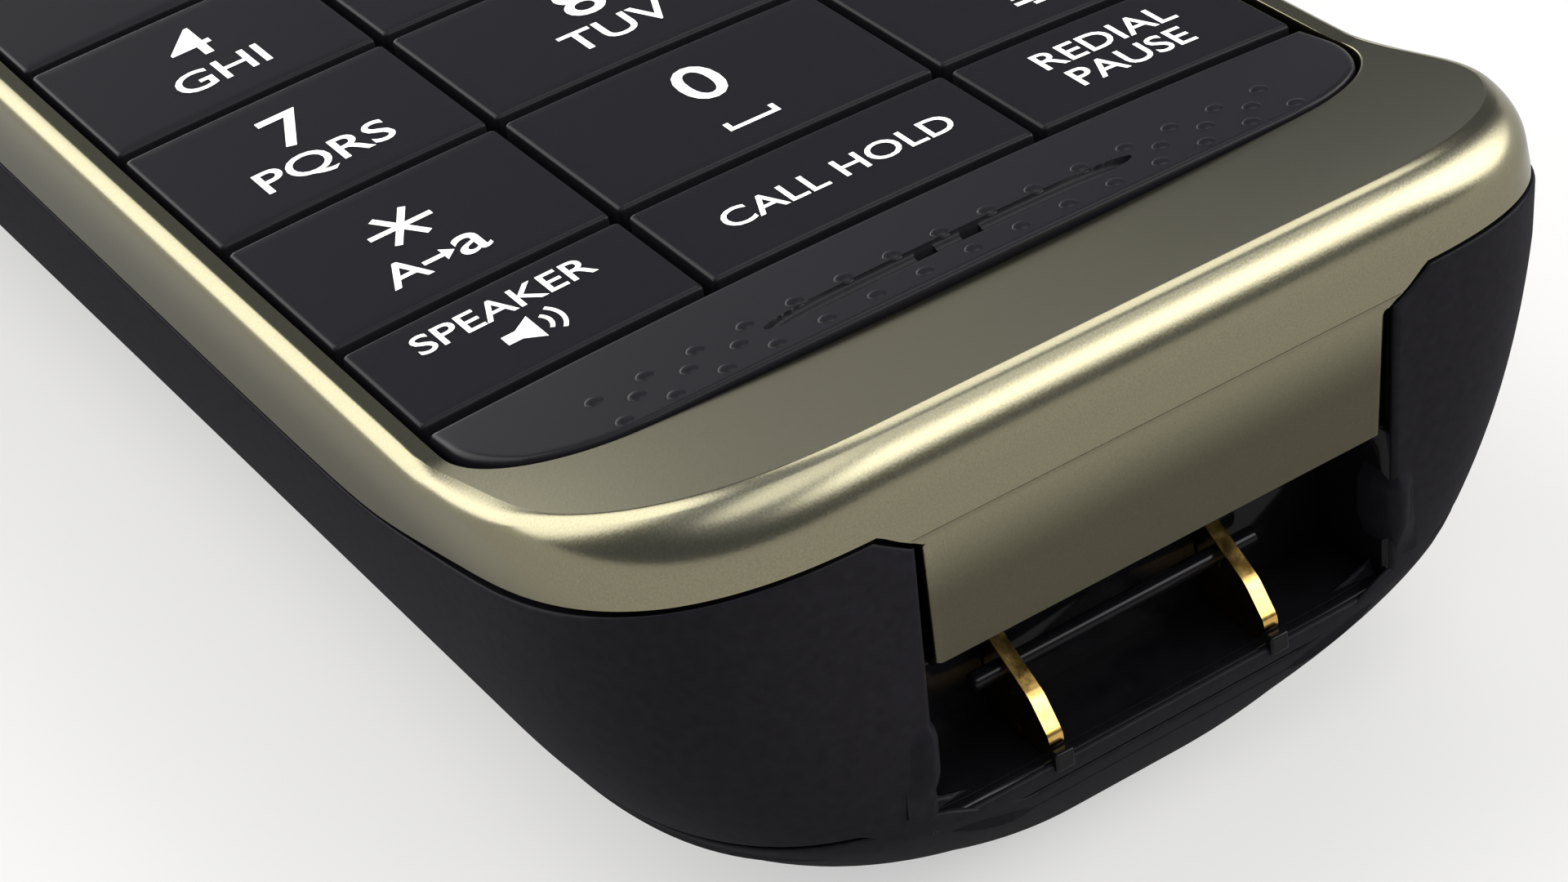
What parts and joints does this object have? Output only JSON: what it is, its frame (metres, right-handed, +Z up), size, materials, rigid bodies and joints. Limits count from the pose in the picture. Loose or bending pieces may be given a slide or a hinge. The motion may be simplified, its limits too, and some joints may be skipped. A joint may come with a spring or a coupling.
{
  "type": "cordless telephone handset",
  "caption": "Cordless telephone handset with a champagne frame, black keypad, raised chin and a foot recess with two charging contacts.",
  "frame": {"origin": "on the plane of the back, under the middle of the handset", "axes": "+X across the keypad to its right, +Y from the mouth end to the ear end, +Z up out of the keys"},
  "size_m": [0.0468, 0.1619, 0.0268],
  "materials": {
    "champagne_frame": "champagne-gold metallic coat, satin",
    "black_case": "black moulded plastic, satin",
    "black_keys": "black moulded key caps, fine satin, white legends",
    "black_gloss": "black gloss window",
    "gold_contact": "gold-plated blade, polished",
    "silver_metal": "nickel-plated sheet",
    "cell_wrap": "printed wrap, satin",
    "board_green": "solder mask",
    "black_rubber": "silicone rubber, matt",
    "clear_sheet": "polyester sheet",
    "display_glass": "liquid-crystal module, gloss",
    "amber_lens": "translucent lens",
    "speaker_grey": "moulded speaker basket"
  },
  "bodies": {
    "handset": {"front_frame": "champagne_frame", "rear_case": "black_case", "charge_contact_left": "gold_contact", "charge_contact_right": "gold_contact", "contact_bar": "black_gloss", "microphone_panel": "black_keys", "display_window": "black_gloss", "navigation_surround": "black_keys", "keypad_mat": "black_rubber", "dome_sheet": "clear_sheet", "main_board": "board_green", "display_module": "display_glass", "earpiece_grille": "silver_metal", "earpiece_receiver": "speaker_grey", "loudspeaker": "speaker_grey", "microphone_boot": "black_rubber", "microphone": "silver_metal", "radio_shield": "silver_metal", "antenna": "silver_metal", "board_screws": "silver_metal", "indicator_lens": "amber_lens", "battery_cell_left": "cell_wrap", "battery_cell_right": "cell_wrap", "battery_terminal_left": "silver_metal", "battery_terminal_right": "silver_metal", "battery_bridge": "silver_metal"},
    "battery_cover": {"battery_cover": "black_case"},
    "navigation_pad": {"navigation_pad": "black_rubber"},
    "navigation_ring": {"navigation_ring": "black_keys"},
    "select_key": {"select_key": "black_keys"},
    "speaker_key": {"speaker_key": "black_keys"},
    "hold_key": {"hold_key": "black_keys"},
    "redial_key": {"redial_key": "black_keys"},
    "dial_key_star": {"dial_key_star": "black_keys"},
    "dial_key_0": {"dial_key_0": "black_keys"},
    "dial_key_hash": {"dial_key_hash": "black_keys"},
    "dial_key_7": {"dial_key_7": "black_keys"},
    "dial_key_8": {"dial_key_8": "black_keys"},
    "dial_key_9": {"dial_key_9": "black_keys"},
    "dial_key_4": {"dial_key_4": "black_keys"},
    "dial_key_5": {"dial_key_5": "black_keys"},
    "dial_key_6": {"dial_key_6": "black_keys"},
    "dial_key_1": {"dial_key_1": "black_keys"},
    "dial_key_2": {"dial_key_2": "black_keys"},
    "dial_key_3": {"dial_key_3": "black_keys"},
    "soft_key_left": {"soft_key_left": "black_keys"},
    "soft_key_middle": {"soft_key_middle": "black_keys"},
    "soft_key_right": {"soft_key_right": "black_keys"},
    "talk_key": {"talk_key": "black_keys"},
    "off_key": {"off_key": "black_keys"}
  },
  "joints": [
    {"name": "battery_cover_slide", "type": "slide", "parent": "handset", "child": "battery_cover", "axis": [0, -1, 0], "range_m": [0, 0.07]},
    {"name": "speaker_key_press", "type": "slide", "parent": "handset", "child": "speaker_key", "axis": [0, 0, -1], "range_m": [0, 0.0005], "stiffness_N_per_m": 400},
    {"name": "hold_key_press", "type": "slide", "parent": "handset", "child": "hold_key", "axis": [0, 0, -1], "range_m": [0, 0.0005], "stiffness_N_per_m": 400},
    {"name": "redial_key_press", "type": "slide", "parent": "handset", "child": "redial_key", "axis": [0, 0, -1], "range_m": [0, 0.0005], "stiffness_N_per_m": 400},
    {"name": "dial_key_star_press", "type": "slide", "parent": "handset", "child": "dial_key_star", "axis": [0, 0, -1], "range_m": [0, 0.0005], "stiffness_N_per_m": 400},
    {"name": "dial_key_0_press", "type": "slide", "parent": "handset", "child": "dial_key_0", "axis": [0, 0, -1], "range_m": [0, 0.0005], "stiffness_N_per_m": 400},
    {"name": "dial_key_hash_press", "type": "slide", "parent": "handset", "child": "dial_key_hash", "axis": [0, 0, -1], "range_m": [0, 0.0005], "stiffness_N_per_m": 400},
    {"name": "dial_key_7_press", "type": "slide", "parent": "handset", "child": "dial_key_7", "axis": [0, 0, -1], "range_m": [0, 0.0005], "stiffness_N_per_m": 400},
    {"name": "dial_key_8_press", "type": "slide", "parent": "handset", "child": "dial_key_8", "axis": [0, 0, -1], "range_m": [0, 0.0005], "stiffness_N_per_m": 400},
    {"name": "dial_key_9_press", "type": "slide", "parent": "handset", "child": "dial_key_9", "axis": [0, 0, -1], "range_m": [0, 0.0005], "stiffness_N_per_m": 400},
    {"name": "dial_key_4_press", "type": "slide", "parent": "handset", "child": "dial_key_4", "axis": [0, 0, -1], "range_m": [0, 0.0005], "stiffness_N_per_m": 400},
    {"name": "dial_key_5_press", "type": "slide", "parent": "handset", "child": "dial_key_5", "axis": [0, 0, -1], "range_m": [0, 0.0005], "stiffness_N_per_m": 400},
    {"name": "dial_key_6_press", "type": "slide", "parent": "handset", "child": "dial_key_6", "axis": [0, 0, -1], "range_m": [0, 0.0005], "stiffness_N_per_m": 400},
    {"name": "dial_key_1_press", "type": "slide", "parent": "handset", "child": "dial_key_1", "axis": [0, 0, -1], "range_m": [0, 0.0005], "stiffness_N_per_m": 400},
    {"name": "dial_key_2_press", "type": "slide", "parent": "handset", "child": "dial_key_2", "axis": [0, 0, -1], "range_m": [0, 0.0005], "stiffness_N_per_m": 400},
    {"name": "dial_key_3_press", "type": "slide", "parent": "handset", "child": "dial_key_3", "axis": [0, 0, -1], "range_m": [0, 0.0005], "stiffness_N_per_m": 400},
    {"name": "soft_key_left_press", "type": "slide", "parent": "handset", "child": "soft_key_left", "axis": [0, 0, -1], "range_m": [0, 0.0005], "stiffness_N_per_m": 400},
    {"name": "soft_key_middle_press", "type": "slide", "parent": "handset", "child": "soft_key_middle", "axis": [0, 0, -1], "range_m": [0, 0.0005], "stiffness_N_per_m": 400},
    {"name": "soft_key_right_press", "type": "slide", "parent": "handset", "child": "soft_key_right", "axis": [0, 0, -1], "range_m": [0, 0.0005], "stiffness_N_per_m": 400},
    {"name": "talk_key_press", "type": "slide", "parent": "handset", "child": "talk_key", "axis": [0, 0, -1], "range_m": [0, 0.0005], "stiffness_N_per_m": 400},
    {"name": "off_key_press", "type": "slide", "parent": "handset", "child": "off_key", "axis": [0, 0, -1], "range_m": [0, 0.0005], "stiffness_N_per_m": 400},
    {"name": "select_key_press", "type": "slide", "parent": "handset", "child": "select_key", "axis": [0, 0, -1], "range_m": [0, 0.00035], "stiffness_N_per_m": 400},
    {"name": "navigation_rock_sideways", "type": "hinge", "parent": "handset", "child": "navigation_pad", "pos_m": [0, -0.00184, 0.0207], "axis": [0, 1, 0], "range_deg": [-2, 2], "stiffness_Nm_per_rad": 0.02},
    {"name": "navigation_rock_lengthways", "type": "hinge", "parent": "navigation_pad", "child": "navigation_ring", "pos_m": [0, -0.00184, 0.0207], "axis": [1, 0, 0], "range_deg": [-2, 2], "stiffness_Nm_per_rad": 0.02}
  ]
}
